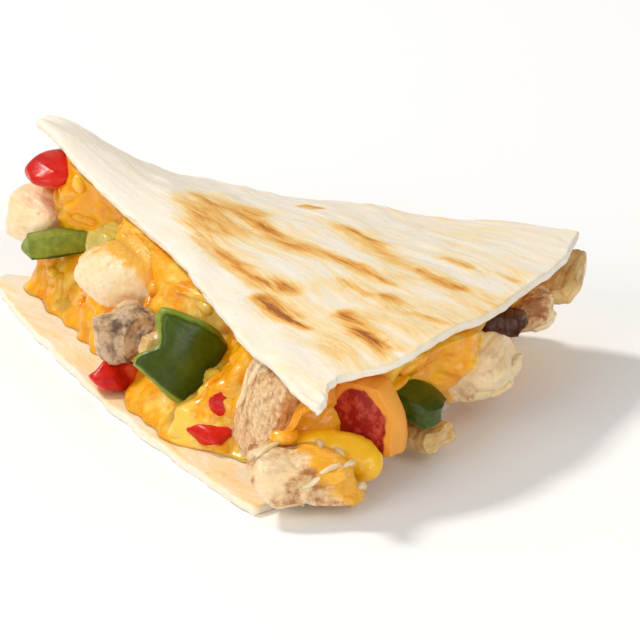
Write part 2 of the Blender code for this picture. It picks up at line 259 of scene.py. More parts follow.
def dress(piece, slot, *nodes):
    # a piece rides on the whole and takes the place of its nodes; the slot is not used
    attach(piece, "root")
    if nodes:
        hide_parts(*nodes)
    return piece


def gridFaces(rows, columns, closed=False):
    # quads of a grid of rows by columns places, joined round its columns if closed
    i = np.arange(rows - 1)[:, None]
    j = np.arange(columns if closed else columns - 1)[None, :]
    n = (j + 1) % columns
    corners = (i * columns + j, (i + 1) * columns + j, (i + 1) * columns + n, i * columns + n)
    return np.stack([np.broadcast_to(c, (rows - 1, j.size)) for c in corners], axis=-1).reshape(-1, 4)


def surfaceNormals(places, faces):
    # each vertex takes the sum of its quads' cross products of diagonals, made one long
    corners = places[faces]
    cross = np.cross(corners[:, 2] - corners[:, 0], corners[:, 3] - corners[:, 1])
    normals = np.zeros_like(places)
    for k in range(3):
        for column in range(4):
            normals[:, k] += np.bincount(faces[:, column], cross[:, k], len(places))
    return madeUnit(normals)


blocks = {}


def unitBlock(steps):
    # a cube's surface as a lattice from -0.5 to 0.5, with steps quads along each edge
    if steps in blocks:
        return blocks[steps]
    a, b = np.meshgrid(np.arange(steps), np.arange(steps), indexing="ij")
    quads = []
    for axis in range(3):
        for end in (0, steps):
            corners = []
            for da, db in ((0, 0), (1, 0), (1, 1), (0, 1)):
                corner = np.zeros((steps, steps, 3), dtype=np.int64)
                corner[..., axis] = end
                corner[..., (axis + 1) % 3] = a + da
                corner[..., (axis + 2) % 3] = b + db
                corners.append(corner.reshape(-1, 3))
            quad = np.stack(corners, axis=1)
            quads.append(quad if end else quad[:, ::-1])
    quads = np.concatenate(quads)
    lattice, index = np.unique(quads.reshape(-1, 3), axis=0, return_inverse=True)
    blocks[steps] = (lattice / steps - 0.5, index.reshape(-1, 4))
    return blocks[steps]


def tubes(paths, radii, around=8):
    # carries a ring of around places along every path. paths is tube, step, xyz and radii tube, step.
    # Each end is closed by one face
    ahead = madeUnit(np.gradient(paths, axis=1))
    across = madeUnit(np.cross(ahead, up))
    above = np.cross(across, ahead)
    turn = (np.arange(around) / around * 2 * math.pi)[:, None]
    ring = across[:, :, None] * np.cos(turn) + above[:, :, None] * np.sin(turn)
    places = paths[:, :, None] + ring * radii[:, :, None, None]
    count, steps = paths.shape[:2]
    starts = (np.arange(count) * steps * around)[:, None]
    walls = (gridFaces(steps, around, closed=True)[None] + starts[..., None]).reshape(-1, 4)
    first = starts + np.arange(around)[::-1]
    last = starts + (steps - 1) * around + np.arange(around)
    return places.reshape(-1, 3), [walls, first, last]


# ---- shader helpers

def makeMaterial(name):
    material = bpy.data.materials.new(name)
    material.use_nodes = True
    return material, material.node_tree, material.node_tree.nodes["Principled BSDF"]


def fill(socket, value):
    # links a socket to another one, or gives it a value of its own
    if isinstance(value, bpy.types.NodeSocket):
        socket.id_data.links.new(value, socket)
    else:
        socket.default_value = value


def setInputs(node, **values):
    # fills sockets by name, where an underscore stands for a space
    for key, value in values.items():
        fill(node.inputs[key.replace("_", " ")], value)


def addNode(tree, kind, settings=None, **values):
    # settings are the node's own options, and values go to its sockets
    node = tree.nodes.new("ShaderNode" + kind)
    for key, value in (settings or {}).items():
        setattr(node, key, value)
    setInputs(node, **values)
    return node


def colours(**rows):
    # sRGB colours from 0 to 255, by name, as the linear colours that a shader takes
    made = {}
    for name, row in rows.items():
        parts = [value / 255 for value in row]
        made[name] = (*(v / 12.92 if v <= 0.04045 else ((v + 0.055) / 1.055) ** 2.4 for v in parts), 1.0)
    return made


def addRamp(source, *stops):
    # stops are position, colour pairs
    ramp = addNode(source.id_data, "ValToRGB", Fac=source)
    ramp.color_ramp.interpolation = "EASE"
    elements = ramp.color_ramp.elements
    while len(elements) < len(stops):
        elements.new(0.5)
    for element, (position, colour) in zip(elements, stops):
        element.position = position
        element.color = colour
    return ramp.outputs["Color"]


def mixColours(share, first, second):
    mix = addNode(share.id_data, "Mix", {"data_type": "RGBA"})
    for index, value in ((0, share), (6, first), (7, second)):
        fill(mix.inputs[index], value)
    return mix.outputs[2]


def mathNode(operation, *values, clamp=False):
    tree = next(value.id_data for value in values if isinstance(value, bpy.types.NodeSocket))
    node = addNode(tree, "Math", {"operation": operation, "use_clamp": clamp})
    for socket, value in zip(node.inputs, values):
        fill(socket, value)
    return node.outputs[0]


def scaled(value, gain, lift=0.0, clamp=False):
    # value x gain + lift, kept from 0 to 1 by clamp
    return mathNode("MULTIPLY_ADD", value, gain, lift, clamp=clamp)


def noiseOf(place, **values):
    return addNode(place.id_data, "TexNoise", Vector=place, **values).outputs["Fac"]


def makeGroup(name, output, **defaults):
    # a node group that takes a vector and numbers, named with their defaults, and gives one number
    group = bpy.data.node_groups.new(name, "ShaderNodeTree")
    group.interface.new_socket("Vector", in_out="INPUT", socket_type="NodeSocketVector")
    for title, value in defaults.items():
        group.interface.new_socket(title, in_out="INPUT", socket_type="NodeSocketFloat").default_value = value
    group.interface.new_socket(output, in_out="OUTPUT", socket_type="NodeSocketFloat")
    return group, group.nodes.new("NodeGroupInput").outputs, group.nodes.new("NodeGroupOutput").inputs[output]


def useGroup(group, place, **values):
    return addNode(place.id_data, "Group", {"node_tree": group}, Vector=place, **values).outputs[0]


# ---- effects that several foods share

def makeMottle():
    # two noises, one slow and one fine, added and stretched to a mask from 0 to 1
    group, given, mask = makeGroup("mottle", "Mask", Scale=1.0, Contrast=3.0)
    place, scale = given["Vector"], given["Scale"]
    slow = noiseOf(place, Scale=scale, Detail=2.0, Roughness=0.5)
    fine = noiseOf(place, Scale=scaled(scale, 4.3), Detail=3.0, Roughness=0.6)
    both = scaled(slow, 0.65, scaled(fine, 0.35, -0.5))
    fill(mask, scaled(both, given["Contrast"], 0.5, clamp=True))
    return group


def makeSpecks():
    # small round specks where a cell noise is close to its points, thinned out by a slower noise
    group, given, mask = makeGroup("specks", "Mask", Scale=1.0, Size=0.2, Share=0.5)
    place, scale, size = given["Vector"], given["Scale"], given["Size"]
    cells = addNode(group, "TexVoronoi", Vector=place, Scale=scale).outputs["Distance"]
    thin = noiseOf(place, Scale=scaled(scale, 0.37), Detail=1.0)
    near = mathNode("DIVIDE", mathNode("SUBTRACT", size, cells), scaled(size, 0.5), clamp=True)
    kept = scaled(mathNode("SUBTRACT", given["Share"], thin), 12.0, clamp=True)
    fill(mask, mathNode("MULTIPLY", near, kept))
    return group


def makeFibres():
    # noise drawn out along X, as muscle fibre, pepper wall and onion skin are
    group, given, height = makeGroup("fibres", "Height", Scale=1.0, Stretch=0.15)
    squeeze = addNode(group, "CombineXYZ", X=given["Stretch"], Y=1.0, Z=1.0).outputs["Vector"]
    drawn = addNode(group, "VectorMath", {"operation": "MULTIPLY"})
    fill(drawn.inputs[0], given["Vector"])
    fill(drawn.inputs[1], squeeze)
    fill(height, noiseOf(drawn.outputs["Vector"], Scale=given["Scale"], Detail=4.0, Roughness=0.55))
    return group


mottle = makeMottle()
specks = makeSpecks()
fibres = makeFibres()


def addPlaces(tree):
    # Object coordinates in millimetres
    where = addNode(tree, "TexCoord").outputs["Object"]
    return addNode(tree, "Mapping", Vector=where, Scale=(1 / mm, 1 / mm, 1 / mm)).outputs["Vector"]


def addMark(tree, name, output="Fac"):
    return addNode(tree, "Attribute", {"attribute_name": name}).outputs[output]


def addBump(shader, *heights):
    # chains a bump for each height, strength and distance in millimetres
    last = {}
    for height, strength, distance in heights:
        bump = addNode(shader.id_data, "Bump", Height=height, Strength=strength, Distance=distance * mm,
                       **last)
        last = {"Normal": bump.outputs["Normal"]}
    setInputs(shader, **last)


# ---- flour tortilla

flour = {
    **colours(cream=(246, 238, 224), warm=(250, 224, 174), toast=(244, 194, 112), brown=(222, 148, 58),
              scorch=(164, 94, 36)),
    "roughness": 0.54,
    "wrinkleAngle": -13.0,
    "wrinkleDrift": 6.0,
}


def makeFlour():
    material, tree, shader = makeMaterial("flourTortilla")
    places, toast, weave = addPlaces(tree), addMark(tree, "toast"), addMark(tree, "weave", "Vector")
    blotch = useGroup(mottle, places, Scale=0.11, Contrast=3.2)
    streaky = useGroup(fibres, weave, Scale=0.34, Stretch=0.2)
    threads = useGroup(fibres, weave, Scale=0.9, Stretch=0.09)
    # fine dark lines lie where the drawn-out noise crosses its middle value
    lines = scaled(mathNode("ABSOLUTE", scaled(threads, 1.0, -0.5)), -16.0, 1.0, clamp=True)
    heat = scaled(scaled(streaky, 2.4, -1.2), scaled(toast, 1.0, 0.08), toast)
    heat = scaled(lines, scaled(toast, 0.5), heat, clamp=True)
    base = mixColours(scaled(blotch, 0.35), flour["cream"], flour["warm"])
    browned = addRamp(heat, (0.0, flour["cream"]), (0.16, flour["warm"]), (0.36, flour["toast"]),
                      (0.66, flour["brown"]), (1.0, flour["scorch"]))
    colour = mixColours(scaled(heat, 6.0, clamp=True), base, browned)
    dots = useGroup(specks, places, Scale=0.42, Size=0.3, Share=0.44)
    colour = mixColours(mathNode("MULTIPLY", dots, scaled(toast, 0.9, 0.08)), colour, flour["brown"])
    grain = noiseOf(places, Scale=1.5, Detail=4.0, Roughness=0.6)
    addBump(shader, (grain, 0.35, 0.3), (streaky, 0.4, 0.6), (threads, 0.25, 0.3))
    setInputs(shader, Base_Color=colour, Roughness=scaled(blotch, 0.16, flour["roughness"]),
              Subsurface_Weight=0.12, Subsurface_Radius=(1.0, 0.7, 0.45), Subsurface_Scale=0.0012,
              Specular_IOR_Level=0.35)
    return material


# Browning on the upper sheet: x, y, length, width, degrees from +X, strength
streaks = {
    "upper": ((-22.5, 10, 20, 4.6, 10, 0.55), (-18, 2, 18, 5.0, -38, 0.5), (-6, 7.6, 44, 2.0, -6, 0.6),
              (18, 4.6, 26, 1.5, -4, 0.72), (13, 17.5, 34, 2.2, -15, 0.5), (33, 13, 16, 1.5, -12, 0.62),
              (-6, -8, 24, 3.0, -16, 0.55), (8, -12, 24, 2.6, -12, 0.7), (21, -20.5, 15, 2.8, -23, 0.85),
              (28, -23.5, 10, 1.4, -20, 0.8), (39, -17.2, 14, 2.2, -18, 0.7), (46, -20, 16, 1.6, -14, 0.75),
              (51, -22.5, 12, 1.1, 0, 0.5), (37, -4.6, 9, 1.3, 0, 0.42), (26, -3, 12, 1.0, -8, 0.35),
              (47, -6, 10, 1.0, -10, 0.4), (29, 22, 8, 1.3, -6, 0.4), (40, 24, 8, 0.9, -6, 0.3),
              (-14.5, 27, 2.5, 1.2, 0, 0.8)),
    "under": ((-30, 4, 30, 6, 8, 0.6), (0, 8, 44, 4, -6, 0.7), (12, -16, 38, 5, -16, 0.8),
              (30, 20, 30, 5, 14, 0.7), (36, -34, 22, 5, -20, 0.7), (-8, -14, 24, 4, -24, 0.6)),
}


def weaveAt(x, y):
    # a place's way along and across the wrinkles, which fan out from the point and wander slowly
    turn = math.radians(flour["wrinkleAngle"])
    flat = np.zeros_like(x)
    plan = np.stack((x, y, flat), axis=-1)
    along = x * math.cos(turn) + y * math.sin(turn)
    across = y * math.cos(turn) - x * math.sin(turn)
    across *= 1 + 0.12 * np.clip(-along / 40, -1, 1)
    across += flour["wrinkleDrift"] * layeredNoise(plan * 0.026, 201, 2)
    return np.stack((along, across, flat), axis=-1)


def toastAt(x, y, rows, seed):
    # sums a soft-ended stroke for each streak, broken into fine lines by noise drawn out along +X
    toast = np.zeros_like(x)
    for cx, cy, length, width, angle, strength in rows:
        a = math.radians(angle)
        along = (x - cx) * math.cos(a) + (y - cy) * math.sin(a)
        across = -(x - cx) * math.sin(a) + (y - cy) * math.cos(a)
        across = across + 1.1 * np.sin(along * 0.19 + cx)
        ends = smoothStep(1.0, 0.55, np.abs(along) / (length / 2 + 2))
        toast = np.maximum(toast, strength * ends * np.exp(-np.abs(across / width) ** 1.6))
    weave = weaveAt(x, y)
    lines = layeredNoise(weave * (0.06, 0.5, 1), seed, 3)
    clouds = layeredNoise(weave * (0.08, 0.14, 1), seed + 5, 2)
    return np.clip(toast * (0.62 + 0.7 * lines + 0.5 * clouds), 0, 1)


def slabPiece(name, top, bottom, wallSteps, wallPush, material, marksTop, marksBottom):
    # two grids joined by a wall round their four edges. Each wall row lies a share of the way down,
    # pushed out by wallPush(place, share) from the sheet
    rows, columns = top.shape[:2]
    index = np.arange(rows * columns).reshape(rows, columns)
    loop = np.concatenate([index[:-1, 0], index[-1, :-1], index[:0:-1, -1], index[0, :0:-1]])
    high, low = top.reshape(-1, 3), bottom.reshape(-1, 3)
    outward = madeUnit(np.cross(np.roll(high[loop], -1, axis=0) - np.roll(high[loop], 1, axis=0), up))
    walls, rings = [], [loop]
    count = rows * columns
    for step in range(1, wallSteps):
        share = step / wallSteps
        row = high[loop] * (1 - share) + low[loop] * share
        walls.append(row + outward * wallPush(row, share)[:, None])
        rings.append(2 * count + (step - 1) * len(loop) + np.arange(len(loop)))
    rings.append(loop + count)
    quads = gridFaces(rows, columns)
    faces = [quads, quads[:, ::-1] + count]
    for upper, lower in zip(rings[:-1], rings[1:]):
        faces.append(np.stack((upper, lower, np.roll(lower, -1), np.roll(upper, -1)), axis=1))
    marks = {}
    for key, values in marksTop.items():
        above, below = values.reshape(count, -1), marksBottom[key].reshape(count, -1)
        fade = 0.3 if key == "toast" else 1.0
        marks[key] = np.squeeze(np.concatenate([above, below, *[above[loop] * fade] * (wallSteps - 1)]))
    return makePiece(name, np.concatenate([high, low, *walls]), faces, material, marks)


def wallLayers(seed):
    # a torn, layered edge: a rounded lip with thin leaves that stand out along it
    def push(place, share):
        leaves = softNoise(place * (0.16, 0.16, 2.6), seed)
        crumbs = softNoise(place * 0.8, seed + 3)
        return 0.32 * np.sin(math.pi * share) ** 0.6 + 0.22 * leaves + 0.12 * crumbs
    return push


def waveEdges(top, q, t, amount, wander, edges, backShare=0.0):
    # moves a sheet's three edges outward by slow noise and sine waves
    top += frontOut * (amount * wander * edges[0])[..., None]
    top += backOut * (0.9 * np.sin(23 * q) * t ** 4 + backShare * wander * edges[1])[..., None]
    top += rimOut * (amount * (0.6 * np.sin(15 * t + 1) + wander) * edges[2])[..., None]


def makeTopTortilla(material):
    look = {
        "rows": 250,
        "columns": 190,
        "blister": 0.35,
        "wrinkle": 0.16,
        "edgeWave": 0.9,
        "tipTear": 1.8,
        "fold": 1.6,
        "glow": 0.17,
        "warmth": 0.07,
        # depth, middle and half-width of the dips in the rim, by share of its length
        "dips": ((6.2, 0.11, 0.08), (1.6, 0.38, 0.16)),
        # the soft band along the front cut: its middle, half-width and fold height
        "band": (3.5, 5.0, 0.45),
        # the torn front corner: its middle, its size and the place that its folds radiate from
        "corner": (57, -46, 11, 9),
        "tip": (57, -48),
    }
    q, t = np.meshgrid(np.linspace(wedge["pointTrim"], 1, look["rows"]),
                       np.linspace(0, 1, look["columns"]) ** 1.15, indexing="ij")
    top = planPlace(q, t)
    # the front edge is drawn in round the middle of its length, and the rim dips in beside the corner
    draw = wedge["draw"] * hill(q, wedge["drawMiddle"], wedge["drawLength"]) * (1 - t) ** 3
    top -= frontOut * draw[..., None]
    dip = sum(depth * hill(t, middle, width) for depth, middle, width in look["dips"])
    top -= rimOut * (dip * q ** 8)[..., None]
    x, y = top[..., 0].copy(), top[..., 1].copy()
    flat = np.zeros_like(x)
    plan = np.stack((x, y, flat), axis=-1)
    # edges that wander, and a torn, folded tip at the front corner
    cornerX, cornerY, cornerLength, cornerWidth = look["corner"]
    corner = hill(x, cornerX, cornerLength) * hill(y, cornerY, cornerWidth)
    frontEdge, backEdge, rimEdge = (1 - t) ** 6, t ** 5, q ** 10
    wander = layeredNoise(plan * 0.11, 3, 3)
    waveEdges(top, q, t, look["edgeWave"], wander, (frontEdge, backEdge, rimEdge), 0.7)
    top += rimOut * (look["tipTear"] * layeredNoise(plan * 0.33, 9, 2) * corner * rimEdge)[..., None]
    qHere, tHere = planShares(top)
    z = upperHeight(np.minimum(qHere, 1), np.clip(tHere, 0, 1))
    # the front band bellies in soft folds, the middle is pressed flat with fine wrinkles along +X
    bandMiddle, bandWidth, bandFold = look["band"]
    band = hill(t * rimLength * q, bandMiddle, bandWidth)
    z += band * bandFold * np.sin(q * 30 + 1.3 * np.sin(q * 9)) * smoothStep(0.12, 0.3, q)
    weave = weaveAt(x, y)
    fine = softNoise(weave * (0.05, 0.3, 1), 12) + 0.5 * softNoise(weave * (0.09, 0.75, 1), 14)
    z += look["wrinkle"] * fine * (1 - band * 0.8)
    z += look["blister"] * smoothStep(0.42, 0.1, cellNoise(plan * 0.095, 21)) * smoothStep(0.2, 0.5, t)
    z += 0.1 * layeredNoise(plan * 0.4, 17, 3)
    # folds that radiate from the torn tip
    fromTipX, fromTipY = x - look["tip"][0], y - look["tip"][1]
    reach = np.hypot(fromTipX, fromTipY)
    fan = np.arctan2(fromTipY, fromTipX)
    folds = softNoise(np.stack((fan * 3.2, reach * 0.1, flat), axis=-1), 33)
    folds = look["fold"] * folds * smoothStep(1.0, 6.0, reach)
    z += corner * (folds + 0.5 * creases(plan * 0.2, 35, 0.2) - 0.5)
    z += 0.35 * wander * (backEdge + frontEdge)
    top[..., 2] = z
    thick = wedge["sheet"] * (1 - 0.22 * (frontEdge + backEdge + rimEdge * 0.8).clip(0, 1))
    thick = thick + 0.12 * layeredNoise(plan * 0.2, 41, 2)
    bottom = top.copy()
    bottom[..., 2] -= thick
    toast = toastAt(x, y, streaks["upper"], 50)
    plateau = smoothStep(8, 15, t * rimLength * q) * smoothStep(0.3, 0.45, q) * smoothStep(0.9, 0.6, t)
    glow = layeredNoise(weave * (0.035, 0.11, 1), 61, 3)
    toast = np.clip(toast + look["glow"] * plateau * np.clip(0.7 + 1.3 * glow, 0, 2), 0, 1)
    toast = np.maximum(toast, look["warmth"] * smoothStep(0.4, 0.75, q) * (1 + 0.6 * glow))
    under = 0.08 + flat
    piece = slabPiece("topTortilla", top, bottom, 7, wallLayers(5), material,
                      {"toast": toast, "weave": weave}, {"toast": under, "weave": weave})
    dress(piece, "flour", "top_tortilla")


def makeLowerTortilla(material):
    look = {
        "rows": 230,
        "columns": 150,
        "relief": 0.2,
        "edgeWave": 1.0,
    }
    q, t = np.meshgrid(np.linspace(wedge["pointTrim"], 1, look["rows"]),
                       np.linspace(0, 1, look["columns"]), indexing="ij")
    top = planPlace(q * wedge["lowerReach"], t, wedge["lowerSlide"], wedge["lowerBow"])
    x, y = top[..., 0].copy(), top[..., 1].copy()
    flat = np.zeros_like(x)
    plan = np.stack((x, y, flat), axis=-1)
    frontEdge, backEdge, rimEdge = (1 - t) ** 8, t ** 6, q ** 12
    wander = layeredNoise(plan * 0.12, 73, 3)
    waveEdges(top, q, t, look["edgeWave"], wander, (frontEdge, backEdge, rimEdge))
    z = wedge["sheet"] + look["relief"] * layeredNoise(plan * 0.3, 77, 3)
    bottom = top.copy()
    bottom[..., 2] = 0.0
    z = z - 0.25 * (frontEdge + backEdge + rimEdge).clip(0, 1)
    top[..., 2] = z
    piece = slabPiece("lowerTortilla", top, bottom, 6, wallLayers(8), material,
                      {"toast": 0.05 + flat + 0.1 * frontEdge, "weave": weaveAt(x, y)},
                      {"toast": toastAt(x, y, streaks["under"], 90), "weave": weaveAt(x, y)})
    dress(piece, "flour", "bottom_tortilla")


flourMaterial = makeFlour()
makeTopTortilla(flourMaterial)
makeLowerTortilla(flourMaterial)
print("tortillas done")


# ---- morsels

def sideFrame(side, along, out, rise, turn, lean, roll):
    # a morsel's middle and its axes: X along the side, Y out of the wedge, Z up, then turned
    start, way, outward = sides[side]
    place = start + way * along + outward * out + up * rise
    if side == "rim":
        share = along / rimLength
        place = place + rimOut * wedge["rimBulge"] * 4 * share * (1 - share)
    axes = np.stack((way, outward, up), axis=1)
    if np.linalg.det(axes) < 0:
        axes = np.stack((-way, outward, up), axis=1)
    spin = Euler((math.radians(lean), math.radians(roll), math.radians(turn)), "XYZ").to_matrix()
    return place, axes @ np.array(spin)


def softClip(value, low, high, softness=0.35):
    # keeps values between low and high, easing into both over softness
    value = low + softness * np.logaddexp(0, (value - low) / softness)
    return high - softness * np.logaddexp(0, (high - value) / softness)


def morselBlock(spec, unit):
    # the unit cube drawn part of the way to a ball, warped by slow noise, shaved flat by a few
    # knife cuts, and narrowed where the morsel has a dome, a taper or a bite
    rounding = spec.get("rounding", 0.68)
    seed = spec["seed"]
    ball = unit / np.linalg.norm(unit, axis=1, keepdims=True) * 0.5
    block = (unit * (1 - rounding) + ball * rounding) * (1 + 0.25 * rounding)
    warp = np.stack([softNoise(block * 1.5 + seed * 3.1 + 9.3 * k, seed + 50 * k) for k in range(3)], axis=-1)
    block = block + spec.get("warp", 0.15) * warp
    random = np.random.default_rng(seed)
    for _ in range(spec.get("cuts", 0)):
        way = random.normal(size=3)
        way /= np.linalg.norm(way)
        rise = block @ way
        over = 0.07 * np.logaddexp(0, (rise - rise.max() * random.uniform(0.72, 0.92)) / 0.07)
        block = block - way * over[:, None]
    high = np.clip(block[:, 2] + 0.5, 0, 1)
    if spec.get("dome"):
        block[:, 0] *= 1 - spec["dome"] * (1 - np.sqrt(1 - high ** 2))
    if spec.get("taper"):
        block[:, 0] *= 1 - spec["taper"] * high
        block[:, 1] *= 1 - 0.5 * spec["taper"] * high
    if spec.get("bite"):
        near = 1 - spec["bite"] * hill(block[:, 2], 0, wedge["biteHeight"])
        block[:, 0] *= np.where(block[:, 0] > 0, near, 1)
    return block


def morselSurface(spec, steps, relief):
    # a morsel's block made uneven, sized, bent and set in its place.
    # relief(local, seed) gives the height in millimetres that its surface stands out by
    unit, quads = unitBlock(steps)
    local = morselBlock(spec, unit) * np.array(spec["size"])
    local = local + surfaceNormals(local, quads) * relief(local, spec["seed"])[:, None]
    bent = local.copy()
    if spec.get("bend"):
        length = spec["size"][0]
        radius = length / math.radians(spec["bend"])
        angle = local[:, 0] / radius
        bent[:, 0] = (radius + local[:, 1]) * np.sin(angle)
        bent[:, 1] = (radius + local[:, 1]) * np.cos(angle) - radius
    middle, axes = sideFrame(spec["side"], spec["along"], spec["out"], spec["up"],
                             spec.get("turn", 0), spec.get("lean", 0), spec.get("roll", 0))
    places = middle + bent @ axes.T
    roof = roofHeight(places, wedge["freeRise"])
    places[:, 2] = softClip(places[:, 2], wedge["sheet"] + wedge["gap"], roof + wedge["morselPress"])
    return places, quads, local, unit


def finishMorsel(title, slot, number, places, quads, material, marks):
    return dress(makePiece(f"{title}{number}", places, quads, material, marks), slot, f"{slot}_{number}")


def morselRow(side, along, out, rise, size, seed, **more):
    return {"side": side, "along": along, "out": out, "up": rise, "size": size, "seed": seed, **more}


# ---- chicken

chicken = {
    # the darker gold here is painted shade in the fibre dips, and also the start of the sear ramp
    **colours(cream=(252, 232, 194), pink=(247, 214, 160), shade=(230, 178, 104), brown=(176, 112, 52),
              char=(58, 36, 24), ash=(186, 150, 116), blot=(84, 54, 44), film=(246, 178, 34)),
    "steps": 44,
    "rows": {
        1: morselRow("front", 10, 1, 17, (13, 15, 10.5), 1, turn=15, rounding=0.85, brown=0.05,
                     torn=0.15, cuts=1, melt=(-0.2, -1.0, 0.2, 0.3)),
        2: morselRow("front", 54.2, -1.8, 18.8, (16.5, 20.5, 10.2), 2, turn=-15, rounding=0.9,
                     brown=0.08, torn=0.2, melt=(0.5, -1.0, 0.3, -0.55)),
        3: morselRow("front", 69.2, 6.8, 12.8, (11, 11, 9.5), 3, turn=25, rounding=0.62, warp=0.2,
                     brown=0.7, torn=0.5, cuts=1, charred=True),
        4: morselRow("front", 118.3, -4, 13.5, (19, 11, 21), 4, lean=12, roll=-8, rounding=0.45,
                     taper=0.3, brown=0.3, tone=0.24, torn=0.3, cuts=2, upright=True),
        5: morselRow("front", 138, 0.8, 6.4, (18.5, 13, 9.4), 5, turn=69.5, warp=0.22, brown=0.45,
                     torn=0.7, cuts=2, melt=(-1.0, 0.0, 0.5, 0.5)),
        6: morselRow("rim", 57, -5.5, 13, (17, 14, 12), 6, turn=10, rounding=0.75, brown=0.18,
                     torn=0.45, cuts=2, melt=(0.0, -1.0, 0.2, 0.1)),
        7: morselRow("rim", 83, -6, 15.5, (9, 12, 8), 7, turn=-30, brown=0.5, torn=0.6, cuts=3),
        8: morselRow("back", 36, -4, 13, (15, 12, 12), 8, turn=20, brown=0.15, torn=0.4, cuts=3),
        9: morselRow("back", 65, -5, 12.5, (16, 13, 13), 9, turn=-10, brown=0.2, torn=0.5, cuts=3),
        10: morselRow("back", 97, -6, 11.5, (15, 13, 12), 10, turn=15, brown=0.25, torn=0.4, cuts=3),
    },
}


def grainOf(spec, local):
    # local places with X along the fibres, which stand upright in a piece set on end
    return local[:, (2, 0, 1)] if spec.get("upright") else local


def makeChickenMaterial():
    material, tree, shader = makeMaterial("grilledChicken")
    grain = addMark(tree, "grain", "Vector")
    brown, char, film = (addMark(tree, name) for name in ("brown", "char", "film"))
    patch = useGroup(mottle, grain, Scale=0.16, Contrast=3.0)
    strands = useGroup(fibres, grain, Scale=1.3, Stretch=0.16)
    grit = noiseOf(grain, Scale=0.8, Detail=5.0, Roughness=0.7)
    colour = mixColours(patch, chicken["cream"], chicken["pink"])
    # painted shade: the dips between the fibres are mixed towards the darker gold, as the shade that falls in
    # them
    dips = scaled(strands, -5.0, 2.35, clamp=True)
    colour = mixColours(scaled(dips, 0.4), colour, chicken["shade"])
    # the charred piece is greyed, with dark blotches
    colour = mixColours(scaled(char, 0.75), colour, chicken["ash"])
    blots = scaled(useGroup(mottle, grain, Scale=0.3, Contrast=4.0), 1.3, -0.35, clamp=True)
    colour = mixColours(mathNode("MULTIPLY", char, blots), colour, chicken["blot"])
    heat = mathNode("ADD", scaled(grit, 1.0, -0.5), brown)
    heat = mathNode("MULTIPLY", heat, scaled(brown, 4.0, clamp=True), clamp=True)
    seared = addRamp(heat, (0.0, chicken["shade"]), (0.4, chicken["brown"]), (1.0, chicken["char"]))
    colour = mixColours(scaled(heat, 2.2, clamp=True), colour, seared)
    colour = mixColours(scaled(film, 0.9), colour, chicken["film"])
    addBump(shader, (strands, 0.6, 0.5), (grit, 0.4, 0.35))
    setInputs(shader, Base_Color=colour, Roughness=scaled(film, -0.18, scaled(patch, 0.25, 0.3)),
              Subsurface_Weight=0.25, Subsurface_Radius=(1.0, 0.55, 0.35), Subsurface_Scale=0.0018,
              Specular_IOR_Level=0.5)
    return material


def makeChicken(number, material):
    spec = chicken["rows"][number]

    def filmOn(local):
        # where melted cheese clings: the side of the block that "melt" points to, with a wavering edge
        way = np.array(spec["melt"][:3])
        rise = local / spec["size"] @ way * 2 / np.linalg.norm(way)
        rise += 0.5 * layeredNoise(local * 0.19, spec["seed"] + 40, 3)
        return smoothStep(spec["melt"][3] - 0.1, spec["melt"][3] + 0.16, rise)

    def relief(local, seed):
        # soft swells, a few splits along the fibres, fine strands, and pits in the surface
        g = grainOf(spec, local)
        bundle = g * (0.045, 0.21, 0.21)
        height = 0.6 * layeredNoise(g * 0.14, seed + 2, 2)
        height -= 0.6 * spec["torn"] * creases(bundle + seed, seed, 0.1)
        height -= 0.3 * spec["torn"] * creases(bundle * 2.1, seed + 4, 0.12)
        height += (0.04 + 0.08 * spec["torn"]) * softNoise(g * (0.1, 1.1, 1.1), seed + 8)
        height += 0.05 * layeredNoise(g * 0.7, seed + 6, 2)
        height -= 0.18 * smoothStep(0.3, 0.1, cellNoise(g * 0.4, seed))
        film = filmOn(local) if "melt" in spec else 0
        return height * (1 - 0.5 * film) + 0.7 * film ** 0.5 * (1 + 0.5 * softNoise(local * 0.3, seed + 44))

    places, quads, local, unit = morselSurface(spec, chicken["steps"], relief)
    g = grainOf(spec, local)
    sear = layeredNoise(places * 0.13, 70 + number, 2)
    facing = np.clip(unit[:, 2] * 1.6 + unit[:, 1] * 0.6, -1, 1)
    brown = np.clip(spec["brown"] * (0.55 + 1.5 * sear + 0.5 * facing), 0, 1) ** 1.2
    brown = np.maximum(brown, spec.get("tone", 0))
    film = filmOn(local) if "melt" in spec else np.zeros(len(local))
    char = np.zeros(len(local))
    if spec.get("charred"):
        char = smoothStep(-0.75, -0.35, unit[:, 0] * -1.2 + 0.3 * softNoise(local * 0.2, 300))
        brown = brown * 0.2
    marks = {"grain": g, "brown": brown, "char": char, "film": film}
    return finishMorsel("chickenPiece", "chicken", number, places, quads, material, marks)


